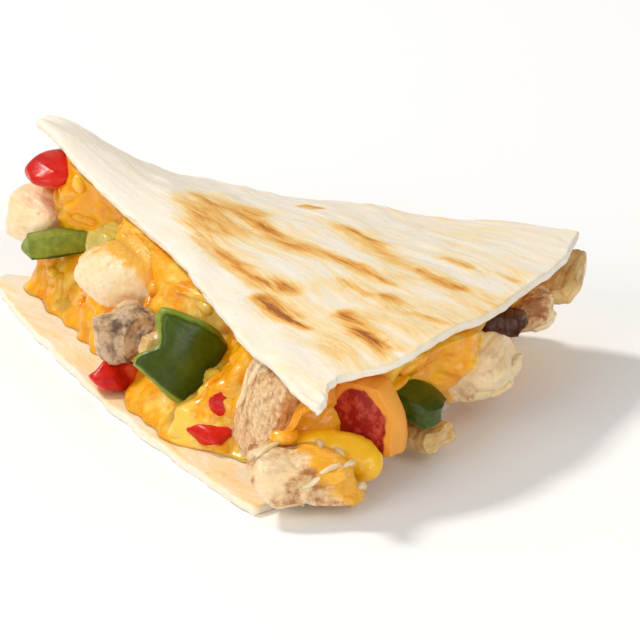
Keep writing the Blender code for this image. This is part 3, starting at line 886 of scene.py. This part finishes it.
def makeStrands(material, pieces):
    # pulled threads of meat: each starts at a vertex of a piece and heads along a way, drawn to the
    # nearest vertex at each step, and it lifts off along the normals by the cube of its share
    look = {
        # piece, count, way of the threads, lift in millimetres
        "rows": ((5, 14, (-0.3, 0.9, 0.2), 0.5), (4, 8, (0.3, 0.2, -1.0), 0.9), (6, 6, (-0.2, 0.9, 0.3), 0.4),
                 (7, 6, (-0.2, 0.8, 0.4), 0.5), (9, 5, (0.9, 0.2, 0.2), 0.4)),
        "length": (5.0, 10.0),
        "radius": (0.45, 0.8),
        "clear": 0.15,
        "stray": 0.2,
        "steps": 9,
    }
    random = np.random.default_rng(29)
    paths, radii = [], []
    share = np.linspace(0, 1, look["steps"])
    for number, count, way, lift in look["rows"]:
        mesh = pieces[number].data
        spots, normals = np.empty(len(mesh.vertices) * 3), np.empty(len(mesh.vertices) * 3)
        mesh.vertices.foreach_get("co", spots)
        mesh.vertices.foreach_get("normal", normals)
        spots, normals = spots.reshape(-1, 3) / mm, normals.reshape(-1, 3)
        for start in random.integers(0, len(spots), count):
            heading = np.array(way) + random.normal(0, look["stray"], 3)
            heading *= random.uniform(*look["length"]) / np.linalg.norm(heading)
            aims = spots[start] + heading * share[:, None]
            nearest = np.argmin(np.linalg.norm(spots - aims[:, None], axis=-1), axis=1)
            path = spots[nearest] + normals[nearest] * (look["clear"] + lift * share ** 3)[:, None]
            paths.append(easedPath(path, 2))
            thin = np.sqrt(np.clip(1 - (2 * share - 1) ** 4, 0.03, 1))
            radii.append(random.uniform(*look["radius"]) * thin)
    places, faces = tubes(np.array(paths), np.array(radii), around=7)
    blank = np.zeros(len(places))
    marks = {"grain": places[:, (1, 0, 2)], "brown": blank + 0.1, "char": blank, "film": blank}
    dress(makePiece("chickenStrands", places, faces, material, marks), "chicken")


chickenMaterial = makeChickenMaterial()
chickenPieces = {number: makeChicken(number, chickenMaterial) for number in chicken["rows"]}
makeStrands(chickenMaterial, chickenPieces)
print("chicken done")


# ---- peppers

pepper = {
    **colours(greenSkin=(74, 92, 2), greenDeep=(46, 62, 0), greenFlesh=(164, 178, 62),
              redSkin=(226, 36, 14), redDeep=(190, 18, 8), redFlesh=(232, 100, 34),
              slicePale=(222, 92, 66), sliceDeep=(158, 26, 22), wall=(242, 164, 60)),
    "skinEdge": {"green": (0.55, 1.0), "red": (-0.9, -0.2)},
    "steps": 44,
    "green": {
        1: morselRow("front", 23.3, -0.7, 15.8, (6, 21, 4.6), 11, turn=-15, lean=-6, rounding=0.45,
                     warp=0.05, skin=(0, 0, -1)),
        2: morselRow("front", 92, 5.1, 15.4, (18, 4.4, 13.4), 12, turn=80, lean=12, roll=-35,
                     rounding=0.7, bend=75, warp=0.08, bite=0.45, skin=(0, 1, 0)),
        # the third green piece is dark skin all over: real skin colour, spread over the whole piece as
        # painted shade under the upper sheet
        3: morselRow("rim", 33.5, -6, 14.4, (9, 13.5, 4.2), 13, lean=-24, rounding=0.6, warp=0.12,
                     skin=(0, 0, 1), dark=True),
        4: morselRow("back", 50.5, -3.5, 12, (5, 14, 12), 14, lean=10, rounding=0.45, warp=0.05,
                     skin=(1, 0, 0)),
    },
    "red": {
        1: morselRow("front", 14, -3, 27.6, (11, 16, 5.5), 21, turn=10, rounding=0.9, warp=0.1,
                     skin=(0, 0, 1)),
        2: morselRow("front", 70, 10.4, 4.9, (6.5, 7.5, 4.6), 22, rounding=0.9, warp=0.24,
                     skin=(0, 1, 0)),
        3: morselRow("front", 104.8, 0.2, 9.8, (6, 7, 5.6), 23, rounding=0.9, warp=0.24, skin=(0, 1, 0)),
        4: morselRow("front", 106, 5.2, 5, (7, 5, 3.6), 24, turn=30, rounding=0.9, warp=0.24,
                     skin=(0, 1, 0)),
        5: morselRow("rim", 22.3, -7.8, 14, (14.8, 6, 14), 25, turn=90, rounding=0.35, dome=0.6,
                     warp=0.04, skin=(0, -1, 0), sliced=True),
        6: morselRow("back", 81.5, -3, 9, (9, 12, 6), 26, turn=-20, rounding=0.7, skin=(0, 1, 0)),
    },
}


def makePepperMaterial(name, skinColour, deepColour, fleshColour, sliced=False):
    material, tree, shader = makeMaterial(name)
    grain, skin = addMark(tree, "grain", "Vector"), addMark(tree, "skin")
    patch = useGroup(mottle, grain, Scale=0.2, Contrast=2.6)
    threads = useGroup(fibres, grain, Scale=0.7, Stretch=0.3)
    outer = mixColours(patch, skinColour, deepColour)
    inner = mixColours(threads, fleshColour, skinColour)
    if sliced:  # a slice shows a dark mottled face inside an orange wall
        slice = addMark(tree, "slice")
        flecks = scaled(useGroup(mottle, grain, Scale=0.5, Contrast=6.0), 0.9, -0.3, clamp=True)
        outer = mixColours(slice, outer, mixColours(flecks, pepper["sliceDeep"], pepper["slicePale"]))
        inner = mixColours(slice, inner, pepper["wall"])
    edge = scaled(threads, 0.3, scaled(skin, 1.0, -0.15))
    share = scaled(edge, 2.0, -0.5, clamp=True)
    addBump(shader, (threads, 0.35, 0.4), (noiseOf(grain, Scale=1.6, Detail=3.0), 0.2, 0.2))
    setInputs(shader, Base_Color=mixColours(share, inner, outer), Roughness=scaled(share, -0.14, 0.46),
              Subsurface_Weight=0.12, Subsurface_Radius=(1.0, 0.5, 0.2), Subsurface_Scale=0.001,
              Specular_IOR_Level=0.32, Coat_Weight=0.08, Coat_Roughness=0.2)
    return material


def makePepper(kind, number, material):
    spec = pepper[kind][number]
    outward = np.array(spec["skin"], dtype=float)

    def relief(local, seed):
        # slow swells and fine pores
        return 0.4 * softNoise(local * 0.16, seed) + 0.05 * layeredNoise(local * 0.7, seed + 5, 2)

    places, quads, local, unit = morselSurface(spec, pepper["steps"], relief)
    facing = unit @ outward * 2
    spread = 0.12 * softNoise(local * 0.5, spec["seed"] + 9)
    # painted shade: a flagged piece is pushed to dark skin everywhere, for the shade where it lies under the
    # upper sheet
    skin = smoothStep(*pepper["skinEdge"][kind], facing + spread + (2.0 if spec.get("dark") else 0.0))
    if spec.get("sliced"):  # a sliced face inside a pale wall
        across = np.hypot(unit[:, 0] * 2, np.clip(unit[:, 2] * 2, -0.4, 1))
        skin = smoothStep(0.2, 0.7, facing) * smoothStep(0.95, 0.8, across + spread)
    slice = np.full(len(local), 1.0 if spec.get("sliced") else 0.0)
    marks = {"grain": local, "skin": skin, "slice": slice}
    finishMorsel(f"{kind}Pepper", f"{kind}_pepper", number, places, quads, material, marks)


for kind in ("green", "red"):
    skins = [pepper[kind + part] for part in ("Skin", "Deep", "Flesh")]
    pepperMaterial = makePepperMaterial(kind + "PepperWall", *skins, sliced=kind == "red")
    for number in pepper[kind]:
        makePepper(kind, number, pepperMaterial)
print("peppers done")


# ---- onion and mushroom

onion = {
    **colours(pale=(238, 210, 146), gold=(202, 150, 70), vein=(166, 108, 46), leaf=(196, 186, 74)),
    "steps": 34,
    "rows": {
        1: morselRow("front", 39, -3, 20, (8, 10, 6), 31, turn=15, rounding=0.6, green=True),
        2: morselRow("front", 83.5, 7, 15.2, (5, 6, 5), 32, rounding=0.7),
        3: morselRow("rim", 37, -5.5, 5.5, (9, 9, 5), 33, turn=-10, rounding=0.5),
        4: morselRow("rim", 98, -3, 17, (16, 10, 4.5), 34, lean=10, turn=10, roll=14, rounding=0.6,
                     warp=0.1),
        5: morselRow("back", 21, -1, 20, (9, 8, 5), 35, turn=-10, rounding=0.6),
    },
}


def makeOnionMaterial():
    material, tree, shader = makeMaterial("softOnion")
    grain, leaf = addMark(tree, "grain", "Vector"), addMark(tree, "leaf")
    patch = useGroup(mottle, grain, Scale=0.22, Contrast=3.0)
    veins = useGroup(fibres, grain, Scale=1.1, Stretch=0.12)
    colour = mixColours(patch, onion["pale"], onion["gold"])
    lines = scaled(veins, -5.0, 2.25, clamp=True)
    colour = mixColours(scaled(lines, 0.55), colour, onion["vein"])
    colour = mixColours(scaled(leaf, 0.75), colour, onion["leaf"])
    addBump(shader, (veins, 0.4, 0.4))
    setInputs(shader, Base_Color=colour, Roughness=scaled(patch, 0.2, 0.22), Subsurface_Weight=0.45,
              Subsurface_Radius=(1.0, 0.7, 0.35), Subsurface_Scale=0.003, Coat_Weight=0.3,
              Coat_Roughness=0.15)
    return material


def makeOnion(number, material):
    spec = onion["rows"][number]

    def relief(local, seed):
        # ribs along X from the onion's veins, and the soft folds of a cooked slice
        ribs = 0.08 * np.sin(local[:, 1] * 3.4 + 1.5 * softNoise(local * 0.2, seed))
        folds = creases(local * (0.05, 0.16, 0.2), seed + 3, 0.1)
        return ribs + 0.4 * softNoise(local * 0.15, seed + 2) - 0.2 * folds

    places, quads, local, unit = morselSurface(spec, onion["steps"], relief)
    leaf = np.full(len(local), 1.0 if spec.get("green") else 0.0)
    marks = {"grain": local, "leaf": leaf}
    finishMorsel("onionSlice", "onion", number, places, quads, material, marks)


mushroom = {
    **colours(flesh=(150, 112, 76), gill=(84, 56, 40), edge=(88, 54, 44)),
    "steps": 34,
    "spec": morselRow("rim", 70.6, -6, 17.3, (7.5, 9, 4), 41, turn=20, rounding=0.5),
}


def makeMushroomMaterial():
    material, tree, shader = makeMaterial("brownedMushroom")
    gills = useGroup(fibres, addMark(tree, "grain", "Vector"), Scale=1.4, Stretch=0.2)
    colour = mixColours(scaled(gills, 3.0, -1.0, clamp=True), mushroom["gill"], mushroom["flesh"])
    colour = mixColours(addMark(tree, "rind"), colour, mushroom["edge"])
    addBump(shader, (gills, 0.5, 0.4))
    setInputs(shader, Base_Color=colour, Roughness=scaled(gills, 0.3, 0.25), Subsurface_Weight=0.1,
              Subsurface_Scale=0.001, Specular_IOR_Level=0.5)
    return material


def makeMushroom(material):
    spec = mushroom["spec"]

    def relief(local, seed):
        # a slice's puckered edge and shallow gills
        return 0.5 * softNoise(local * 0.25, seed) - 0.35 * creases(local * (0.1, 0.5, 0.2), seed, 0.12)

    places, quads, local, unit = morselSurface(spec, mushroom["steps"], relief)
    out = np.maximum(np.abs(unit[:, 0]), unit[:, 2])
    rind = smoothStep(0.3, 0.46, out + 0.08 * softNoise(local * 0.5, 7))
    marks = {"grain": local, "rind": rind}
    finishMorsel("mushroomSlice", "mushroom", 1, places, quads, material, marks)


onionMaterial = makeOnionMaterial()
for number in onion["rows"]:
    makeOnion(number, onionMaterial)
makeMushroom(makeMushroomMaterial())
print("onion and mushroom done")


# ---- melted cheese

cheese = {
    # pale is the colour of the painted highlights on the cheese
    **colours(orange=(238, 146, 2), yellow=(248, 184, 14), gold=(252, 196, 36), pale=(252, 216, 96)),
    "levels": 46,
    "edgeSteps": (300, 230, 230, 24),
    "capRings": 9,
    "cornerRounds": 14,
    "floorGap": 0.05,
    "overlap": 0.5,
    "lump": 1.5,
    "swell": 1.6,
    "crumb": 0.12,
    "crease": 0.7,
    # by side: place along it, height share, reach, length, height
    "lobes": {
        "front": ((10, 0.9, -2.5, 8, 0.3), (23, 0.75, 3, 6, 0.22), (30, 0.5, -4, 7, 0.22),
                  (36, 0.8, -2.5, 6, 0.25), (46, 0.3, 4, 10, 0.3), (72, 0.75, 4, 10, 0.4),
                  (86, 0.05, 7, 16, 0.3), (95, 0.75, -5, 9, 0.35), (103, 0.35, 6, 7, 0.4),
                  (120, 0.6, -9, 10, 0.7), (138, 0.4, 4, 8, 0.22), (134, 1.0, -7, 12, 0.45)),
        "rim": ((9, 0.85, -10, 11, 0.5), (14, 0.2, 6, 6, 0.3), (45, 0.6, 7, 7, 0.35), (60, 0.5, -3, 9, 0.6),
                (90, 0.3, 4, 9, 0.4)),
        "back": ((20, 0.4, 4, 8, 0.4), (54, 0.3, 4, 9, 0.4), (86, 0.5, 4, 9, 0.4)),
    },
}


def makeCheeseMaterial(name, deepColour):
    material, tree, shader = makeMaterial(name)
    places = addPlaces(tree)
    patch = useGroup(mottle, places, Scale=0.13, Contrast=3.4)
    # painted highlight: sparse patches mixed towards pale yellow stand for glints of light on the glossy
    # cheese
    paintedHighlight = scaled(useGroup(mottle, places, Scale=0.07, Contrast=6.0), 1.6, -0.95, clamp=True)
    colour = mixColours(paintedHighlight, mixColours(patch, deepColour, cheese["yellow"]), cheese["pale"])
    addBump(shader, (noiseOf(places, Scale=0.6, Detail=3.0, Roughness=0.5), 0.35, 0.5))
    setInputs(shader, Base_Color=colour, Roughness=scaled(patch, 0.2, 0.22), Subsurface_Weight=0.25,
              Subsurface_Radius=(1.0, 0.55, 0.15), Subsurface_Scale=0.002, Specular_IOR_Level=0.35,
              Coat_Weight=0.4, Coat_Roughness=0.08)
    return material


def lobeReach(side, along, level):
    # the sum of the soft bumps of that side's lobes
    return sum(swell * hill(along, centre, length) * hill(level, height, tall)
               for centre, height, swell, length, tall in cheese["lobes"][side])


def cheesePlan(s, t, level):
    # the two cut walls, each with its inset and lobes, and the straight way between them at share t
    slide = 1 - level
    reach = 1 - (1 - wedge["lowerReach"]) * slide
    q = wedge["fillingStart"] + (wedge["fillingEnd"] - wedge["fillingStart"]) * s * reach
    front = planPlace(q, np.zeros_like(q), wedge["lowerSlide"] * 0.6 * slide, wedge["lowerBow"] * 0.5 * slide)
    inset = wedge["wallInset"] * np.minimum(1, q / 0.25)
    front += frontOut * (lobeReach("front", q * wedge["frontCut"], level) - inset)[..., None]
    back = planPlace(q, np.ones_like(q), wedge["lowerSlide"] * 0.6 * slide)
    back += backOut * (lobeReach("back", q * wedge["backCut"], level) - inset)[..., None]
    place = front * (1 - t[..., None]) + back * t[..., None]
    swell = lobeReach("rim", t * rimLength, level) - wedge["wallInset"]
    return place + rimOut * (wedge["rimBulge"] * 4 * t * (1 - t) * q * q + swell * s ** 5)[..., None]


def cheeseWall():
    # places by level and step round the wedge, with the corners eased and the surface made lumpy
    a, b, c, d = cheese["edgeSteps"]
    rise = {count: np.arange(count) / count for count in (a, b, c, d)}
    s = np.concatenate([rise[a], np.ones(b), 1 - rise[c], np.zeros(d)])
    t = np.concatenate([np.zeros(a), rise[b], np.ones(c), 1 - rise[d]])
    level = np.linspace(0, 1, cheese["levels"])
    place = cheesePlan(*np.broadcast_arrays(s[None], t[None], level[:, None]))
    for _ in range(cheese["cornerRounds"]):
        place = (np.roll(place, 1, axis=1) + place * 2 + np.roll(place, -1, axis=1)) / 4
    floor = wedge["sheet"] + cheese["floorGap"]
    roof = roofHeight(place) + cheese["overlap"]
    place[..., 2] = floor + (roof - floor) * level[:, None]
    outward = madeUnit(np.cross(np.roll(place, -1, axis=1) - np.roll(place, 1, axis=1), up))
    lumps = cheese["lump"] * layeredNoise(place * 0.13, 101, 2) - 0.5
    lumps += cheese["swell"] * np.abs(softNoise(place * 0.22, 105))
    lumps += cheese["crumb"] * layeredNoise(place * 0.6, 107, 2)
    lumps -= cheese["crease"] * creases(place * (0.13, 0.13, 0.2), 109, 0.14)
    puddle = 1.4 + 2.2 * softNoise(place[:1] * (0.16, 0.16, 0), 111)
    meet = puddle * np.exp(-level / 0.08)[:, None] + 0.8 * np.exp(-(1 - level) / 0.06)[:, None]
    place = place + outward * (lumps * np.sin(math.pi * level)[:, None] ** 0.4 + meet)[..., None]
    return place, outward


def makeCheese(material):
    wall, outward = cheeseWall()
    levels, around = wall.shape[:2]
    middle = wall.mean(axis=(0, 1))
    shares = np.linspace(1, 0, cheese["capRings"] + 1)[1:-1]
    upper = [middle + (wall[-1] - middle) * share for share in shares]
    lower = [middle + (wall[0] - middle) * share for share in shares]
    floor = wedge["sheet"] + cheese["floorGap"]
    for ring in upper:
        ring[:, 2] = roofHeight(ring) + cheese["overlap"]
    for ring in lower:
        ring[:, 2] = floor
    rings = np.stack(lower[::-1] + list(wall) + upper)
    places = rings.reshape(-1, 3)
    sideFaces = gridFaces(len(rings), around, closed=True)
    bottomPole, topPole = len(places), len(places) + 1
    poles = np.stack([middle, middle])
    poles[0, 2] = floor
    poles[1, 2] = roofHeight(poles[1:])[0] + cheese["overlap"]
    i = np.arange(around)
    n = (i + 1) % around
    top = (len(rings) - 1) * around
    fans = [np.stack((n, i, np.full(around, bottomPole)), axis=1),
            np.stack((top + i, top + n, np.full(around, topPole)), axis=1)]
    # the side faces run the other way round from the fans
    piece = makePiece("meltedCheese", np.concatenate([places, poles]), [sideFaces[:, ::-1], *fans], material)
    dress(piece, "melted_cheese", "cheese")
    return wall, outward


def makeShreds(material, wall, outward):
    # half-melted shreds: short tubes laid on the cheese wall, sagging where they cross it
    look = {
        "count": 90,
        "length": (4.0, 9.0),
        "radius": (1.0, 1.7),
        "steps": 12,
        "sink": -0.45,
        "turn": 0.55,
        "heights": (0.08, 0.92),
        "bow": 0.25,
    }
    random = np.random.default_rng(7)
    levels, around = wall.shape[:2]
    count, steps = look["count"], look["steps"]
    pace = np.linalg.norm(np.roll(wall, -1, axis=1) - wall, axis=-1).mean()
    height = (wall[-1, :, 2] - wall[0, :, 2]).mean() / levels
    length = random.uniform(*look["length"], count)
    angle = random.normal(0, look["turn"], count)
    startAround = random.uniform(0, around, count)
    startLevel = random.uniform(*look["heights"], count) * levels
    share = np.linspace(-0.5, 0.5, steps)[None]
    bow = random.uniform(-look["bow"], look["bow"], count)[:, None] * (1 - 4 * share ** 2)
    across = startAround[:, None] + length[:, None] * (np.cos(angle)[:, None] * share) / pace
    down = startLevel[:, None] + length[:, None] * (np.sin(angle)[:, None] * share + bow) / height * 0.8
    column = np.round(across).astype(int) % around
    row = np.clip(np.round(down), 1, levels - 2).astype(int)
    radius = random.uniform(*look["radius"], count)[:, None] * np.sqrt(np.clip(1 - (2 * share) ** 4, 0.02, 1))
    paths = wall[row, column] + outward[row, column] * look["sink"]
    places, faces = tubes(easedPath(paths, 3), radius, around=8)
    dress(makePiece("cheeseShreds", places, faces, material), "melted_cheese")


def makeDrape(material):
    # a thick strap of cheese across the front corner, hanging down at its end: a soft tube along a
    # curve through its places on the front side, flattened against what it lies on, widened sideways,
    # swollen and thinned by slow noise
    look = {
        # along, out, up and radius
        "places": ((128, 6.0, 8.6, 1.2), (130, 3.2, 10.2, 2.0), (131.5, -2.2, 11.2, 2.5),
                   (133.5, -7.5, 11.0, 2.9), (136, -11.5, 8.8, 3.2), (137.5, -13.5, 6.0, 3.3),
                   (138, -14, 4.2, 2.4)),
        "steps": 70,
        "around": 36,
        "flat": 0.62,
        "wide": 1.2,
    }
    start, way, outward = sides["front"]
    knots = np.array([[*(start + way * a + outward * b + up * c), r] for a, b, c, r in look["places"]])
    share = np.linspace(0, len(knots) - 1, look["steps"])
    path = np.stack([np.interp(share, np.arange(len(knots)), knots[:, k]) for k in range(4)], axis=1)
    path = easedPath(path, 30)
    along = share / share[-1]
    path, radius = path[:, :3], path[:, 3] * np.sqrt(np.clip(1 - (2 * along - 1) ** 8, 0.003, 1))
    places, faces = tubes(path[None], radius[None], around=look["around"])
    centre = np.repeat(path, look["around"], axis=0)
    swell = 1 + 0.28 * layeredNoise(places * 0.15, 131, 2) + 0.06 * softNoise(places * 0.7, 135)
    arm = (places - centre) * swell[:, None] * look["wide"]
    facing = outward * 0.55 + up * 0.83
    arm += np.outer(arm @ facing, facing) * (look["flat"] / look["wide"] - 1)
    places = centre + arm
    dress(makePiece("cheeseDrape", places, faces, material), "melted_cheese")


cheeseMaterial = makeCheeseMaterial("meltedCheese", cheese["orange"])
makeShreds(cheeseMaterial, *makeCheese(cheeseMaterial))
# the drape takes a lighter, yellower copy of the cheese material: painted light on a strap that lies in the
# upper sheet's shadow
makeDrape(makeCheeseMaterial("paintedLightCheese", cheese["gold"]))
print("cheese done")


# ---- floor, light and camera

studio = {
    **colours(floor=(254, 254, 253)),
    "floorSize": 6.0,
    # name, place, size, power and colour
    "lamps": (("keyLight", (-1.15, -0.2, 1.45), 0.32, 18.5, (1.0, 0.97, 0.92)),
              ("fillLight", (0.1, -1.7, 0.8), 1.2, 10.0, (1.0, 1.0, 1.0)),
              ("sideLight", (1.5, -0.5, 0.9), 1.2, 9.0, (1.0, 1.0, 1.0))),
    "sky": 0.4,
    "glossySky": 0.15,
    "cameraPlace": (0.8762, -0.9436, 0.5054),
    "cameraAim": (0.006, 0.008, 0.012),
    "lens": 394.0,
}


def makeFloor():
    half = studio["floorSize"] / 2 / mm
    places = np.array(((-half, -half, 0), (half, -half, 0), (half, half, 0), (-half, half, 0)), dtype=float)
    material, tree, shader = makeMaterial("paleFloor")
    setInputs(shader, Base_Color=studio["floor"], Roughness=0.9, Specular_IOR_Level=0.2)
    places[:, 2] -= 0.02
    makePiece("floor", places, np.array(((0, 1, 2, 3),)), material, smooth=False)


def aimAt(item, place, target):
    item.location = place
    item.rotation_mode = "QUATERNION"
    item.rotation_quaternion = (Vector(target) - Vector(place)).to_track_quat("-Z", "Y")


def addLamp(name, place, size, power, colour):
    lamp = bpy.data.lights.new(name, "AREA")
    lamp.shape = "DISK"
    lamp.size = size
    lamp.energy = power
    lamp.color = colour
    item = bpy.data.objects.new(name, lamp)
    bpy.context.scene.collection.objects.link(item)
    aimAt(item, place, (0, 0, 0.01))


def makeStudio():
    makeFloor()
    for lamp in studio["lamps"]:
        addLamp(*lamp)
    world = bpy.data.worlds.new("softStudio")
    bpy.context.scene.world = world
    world.use_nodes = True
    tree = world.node_tree
    back = tree.nodes["Background"]
    # the wall behind looks white, while glossy food mirrors a darker room and the lamps
    rays = addNode(tree, "LightPath").outputs
    seen = scaled(rays["Is Camera Ray"], 1.0 - studio["sky"], studio["sky"])
    strength = scaled(rays["Is Glossy Ray"], studio["glossySky"] - studio["sky"], seen)
    setInputs(back, Color=(1.0, 1.0, 1.0, 1.0), Strength=strength)
    camera = bpy.data.cameras.new("camera")
    camera.lens = studio["lens"]
    camera.sensor_width = 36.0
    camera.clip_start = 0.05
    view = bpy.data.objects.new("camera", camera)
    bpy.context.scene.collection.objects.link(view)
    aimAt(view, studio["cameraPlace"], studio["cameraAim"])
    bpy.context.scene.camera = view
    bpy.context.scene.view_settings.view_transform = "Standard"


makeStudio()
print("studio done")
